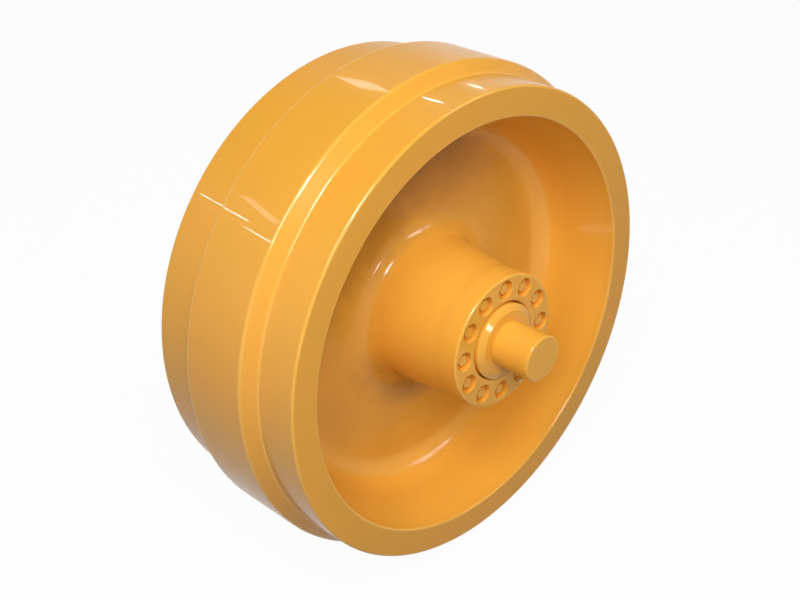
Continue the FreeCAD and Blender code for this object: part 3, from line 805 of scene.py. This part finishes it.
def seal_rubber_finish():
    material, shader = new_material("black_seal_rubber")
    tree = material.node_tree
    place = tree.nodes.new("ShaderNodeTexCoord").outputs["Object"]
    grain = cloudy(tree, place, 700, 3)
    bump_surface(tree, shader, grain, 0.0002)
    patches = cloudy(tree, place, 40, 3)
    shade_colour(tree, shader, (0.022, 0.022, 0.024), spread(tree, patches, 0.3, 0.7, 0.8, 1.25))
    tree.links.new(spread(tree, grain, 0.3, 0.7, 0.5, 0.65), shader.inputs["Roughness"])
    return material


bronze = turned_metal("bearing_bronze", (0.60, 0.40, 0.20), 0.30, 0.5)
lapped_iron = turned_metal("lapped_iron", (0.45, 0.45, 0.46), 0.22, 0.3)
pin_steel = turned_metal("pin_steel", (0.50, 0.50, 0.50), 0.30, 0.4)
copper = turned_metal("washer_copper", (0.80, 0.42, 0.27), 0.32, 0.4)
rubber = seal_rubber_finish()
print("finishes:", [material.name for material in (bronze, lapped_iron, pin_steel, copper, rubber)])

# %% [markdown]
# ## Put the pieces on their bodies
# The wheel turns and the axle stands still, so every piece is tied to one of the two and moves with
# it. The measured node that a new piece stands for is hidden. The hidden pieces inside the hub keep
# their measured shape, which is already right, and only get a finish.

# %% Give every piece its finish and its body
def dress(piece, body, nodes, material):
    """Paints a piece, lets it move with its body, and hides the measured nodes it stands for."""
    piece.data.materials.clear()
    piece.data.materials.append(material)
    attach(piece, body)
    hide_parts(*nodes)


for piece, body, node_name, paint in (
        (wheel, "wheel", "wheel_casting", cast_paint),
        (carrier_near, "wheel", "bearing_carrier_near", machined_paint),
        (carrier_far, "wheel", "bearing_carrier_far", machined_paint),
        (screws_near, "wheel", "carrier_screws_near", machined_paint),
        (screws_far, "wheel", "carrier_screws_far", machined_paint),
        (collar_near, "axle", "seal_collar_near", machined_paint),
        (collar_far, "axle", "seal_collar_far", machined_paint),
        (axle, "axle", "axle", machined_paint),
        (plug, "axle", "oil_plug", machined_paint)):
    dress(piece, body, [node_name], paint)

# %% Give the hidden pieces their finish, by the first of these words that the name holds
HIDDEN_FINISHES = [
    ("bushing", bronze), ("rubber", rubber), ("carrier_ring", rubber), ("collar_ring", rubber),
    ("seal_ring", lapped_iron), ("pin", pin_steel), ("washer", copper)]
for name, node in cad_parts.items():
    finish = next((finish for word, finish in HIDDEN_FINISHES if word in name), None)
    if finish:
        for material_slot in node.material_slots:
            material_slot.material = finish
        print(name, "->", finish.name)

# %% [markdown]
# ## Camera
# The photograph looks down at the near end from the left. The camera's place was worked out from the
# circles of the rim, the flange and the hub, which a lens turns into ellipses.

# %% Camera
def towards(turn, rise):
    """The direction so many degrees to the right of the near end, and above the floor."""
    turn, rise = math.radians(turn), math.radians(rise)
    return Vector((math.sin(turn) * math.cos(rise), -math.cos(turn) * math.cos(rise), math.sin(rise)))


camera_data = bpy.data.cameras.new("camera")
camera_data.lens = 58.83
camera_data.sensor_width = 36
camera_data.clip_end = 100
camera = bpy.data.objects.new("camera", camera_data)
bpy.context.scene.collection.objects.link(camera)
camera.location = (-1.48583, -1.44993, 1.12222)
camera.rotation_euler = towards(-45.113, 28.491).to_track_quat("Z", "Y").to_euler()
bpy.context.scene.camera = camera
bpy.context.scene.view_settings.view_transform = "Standard"
print("camera", [round(value, 3) for value in camera.location])

# %% [markdown]
# ## Floor and room
# The picture is a clean studio shot on white. A floor that only the lamps colour would come out grey,
# and brighter lamps would spoil the paint. So the floor's material is white wherever the camera or a
# reflection looks at it, and keeps only the soft shadow of the wheel; for light that bounces off it, it
# is a dim grey, so that the lower half of the wheel stays in shade. The room is done in the same way:
# white walls that fade towards a dark ceiling for the eye, and a faint even light for the rest.

# %% What the camera or a reflection sees directly
def seen_directly(tree):
    """1 for rays from the camera, from a gloss or through glass; 0 for the soft light of the room."""
    path = tree.nodes.new("ShaderNodeLightPath").outputs
    return maths(tree, "MAXIMUM", *[
        path[kind] for kind in ("Is Camera Ray", "Is Glossy Ray", "Is Transmission Ray")])


# %% Floor
FLOOR_HEIGHT = -0.4525
BOUNCE_TONE = 0.30
SEEN_TONE = 0.95
SEEN_WHITE = 0.96
bpy.ops.mesh.primitive_plane_add(size=60, location=(0, 0, FLOOR_HEIGHT))
floor = bpy.context.object
floor.name = floor.data.name = "studio_floor"
floor_material, floor_shader = new_material("studio_white")
floor_shader.inputs["Roughness"].default_value = 0.9
floor_shader.inputs["Specular IOR Level"].default_value = 0.0
floor_tree = floor_material.node_tree
seen = seen_directly(floor_tree)
floor_tone = spread(floor_tree, seen, 0, 1, BOUNCE_TONE, SEEN_TONE)
floor_colour = floor_tree.nodes.new("ShaderNodeCombineColor")
for channel in ("Red", "Green", "Blue"):
    floor_tree.links.new(floor_tone, floor_colour.inputs[channel])
floor_tree.links.new(floor_colour.outputs["Color"], floor_shader.inputs["Base Color"])
white = floor_tree.nodes.new("ShaderNodeEmission")
white.inputs["Strength"].default_value = 1.0
blend = floor_tree.nodes.new("ShaderNodeMixShader")
floor_output = next(node for node in floor_tree.nodes if node.type == "OUTPUT_MATERIAL")
floor_tree.links.new(maths(floor_tree, "MULTIPLY", seen, SEEN_WHITE), blend.inputs[0])
floor_tree.links.new(floor_shader.outputs["BSDF"], blend.inputs[1])
floor_tree.links.new(white.outputs["Emission"], blend.inputs[2])
floor_tree.links.new(blend.outputs["Shader"], floor_output.inputs["Surface"])
floor.data.materials.append(floor_material)
print("floor at", FLOOR_HEIGHT)

# %% Room
ROOM_LIGHT = 0.06
world = bpy.data.worlds.new("studio")
bpy.context.scene.world = world
world.use_nodes = True
sky = world.node_tree
sky.nodes.clear()
background = sky.nodes.new("ShaderNodeBackground")
background.inputs["Color"].default_value = (1, 1, 1, 1)
height = sky.nodes.new("ShaderNodeSeparateXYZ")
sky.links.new(sky.nodes.new("ShaderNodeTexCoord").outputs["Generated"], height.inputs["Vector"])
wall = spread(sky, height.outputs["Z"], 0.1, 0.7, 1, 0.1)
strength = sky.nodes.new("ShaderNodeMix")
strength.inputs["A"].default_value = ROOM_LIGHT
sky.links.new(seen_directly(sky), strength.inputs["Factor"])
sky.links.new(wall, strength.inputs["B"])
sky.links.new(strength.outputs["Result"], background.inputs["Strength"])
sky_output = sky.nodes.new("ShaderNodeOutputWorld")
sky.links.new(background.outputs["Background"], sky_output.inputs["Surface"])
print("room", world.name, "with", len(sky.nodes), "nodes")

# %% [markdown]
# ## Lamps
# Large soft lamps model the round form: the key on the left, a weaker fill on the right and two behind.
# On a glossy coat their shapes would lie as pale patches, so they are kept out of its gloss. What the
# gloss does show are separate lamps, most of them narrow, that light nothing else: the white streaks
# across the tread, and the glints in the fillets and on the collar. Each stands where the coat mirrors
# it into the camera, and some are tilted until their streak lies as in the photograph. One lamp could
# do both jobs, as the strip overhead does, but then a streak could not be moved without changing the
# shade of the whole wheel.

# %% Soft lamps, for the form
LAMP_DISTANCE = 3.5


def add_lamp(name, turn, rise, width, height, watts, tilt=0, distance=LAMP_DISTANCE):
    """A soft box in the direction given, facing the wheel; tilt lifts the end on its right."""
    lamp_data = bpy.data.lights.new(name, "AREA")
    lamp_data.shape = "RECTANGLE"
    lamp_data.size = width
    lamp_data.size_y = height
    lamp_data.energy = watts
    lamp = bpy.data.objects.new(name, lamp_data)
    bpy.context.scene.collection.objects.link(lamp)
    direction = towards(turn, rise)
    lamp.location = direction * distance
    tilted = direction.to_track_quat("Z", "Y") @ Quaternion((0, 0, 1), math.radians(tilt))
    lamp.rotation_euler = tilted.to_euler()
    return lamp


for soft_lamp in (
        ("key_left", -44, 42, 1.9, 1.6, 66),
        ("key_front", -20, 60, 1.6, 1.6, 17),
        ("key_side", -80, 46, 1.6, 1.6, 24),
        ("fill_right", 44, 40, 1.6, 1.6, 18),
        ("fill_front", -2, 14, 1.6, 1.2, 7),
        ("back_left", -132, 30, 1.6, 2.0, 7),
        ("back_right", 150, 30, 1.6, 2.0, 16)):
    add_lamp(*soft_lamp).visible_glossy = False

# %% A spot that reaches into the dish
into_dish = towards(-64, 28)
spot_data = bpy.data.lights.new("spot_dish", "SPOT")
spot_data.energy = 48
spot_data.spot_size = math.radians(13)
spot_data.spot_blend = 0.6
spot_data.shadow_soft_size = 0.25
spot = bpy.data.objects.new("spot_dish", spot_data)
bpy.context.scene.collection.objects.link(spot)
spot.location = into_dish * LAMP_DISTANCE
spot.rotation_euler = into_dish.to_track_quat("Z", "Y").to_euler()
spot.visible_glossy = False

# %% Lamps that only the gloss shows
for gloss_lamp in (
        ("spark_left", -85, 46, 0.40, 1.80, 52),
        ("spark_key", -43, 50, 0.80, 1.00, 84),
        ("spark_right", 42.5, 36.3, 1.62, 0.07, 16, -22.6),
        ("spark_under", 47, 42.8, 1.50, 0.06, 12, -7),
        ("spark_low", -2, 11.5, 0.44, 0.36, 14),
        ("strip_one", -139.47, 26.92, 0.276, 0.02, 0.6, 8.7),
        ("strip_two", -134.73, 25.36, 0.138, 0.02, 0.3, 1.8),
        ("strip_three", 140.4, 40.7, 0.10, 0.035, 0.6),
        ("strip_four", 129.1, 25.2, 0.066, 0.035, 0.38),
        ("patch_left", -139.05, 31.7, 0.28, 0.07, 0.30, -19),
        ("patch_back", 153.0, 44.5, 0.22, 0.15, 0.9)):
    add_lamp(*gloss_lamp).visible_diffuse = False
add_lamp("overhead", 0, 89.9, 4.6, 0.08, 6, distance=3.2)
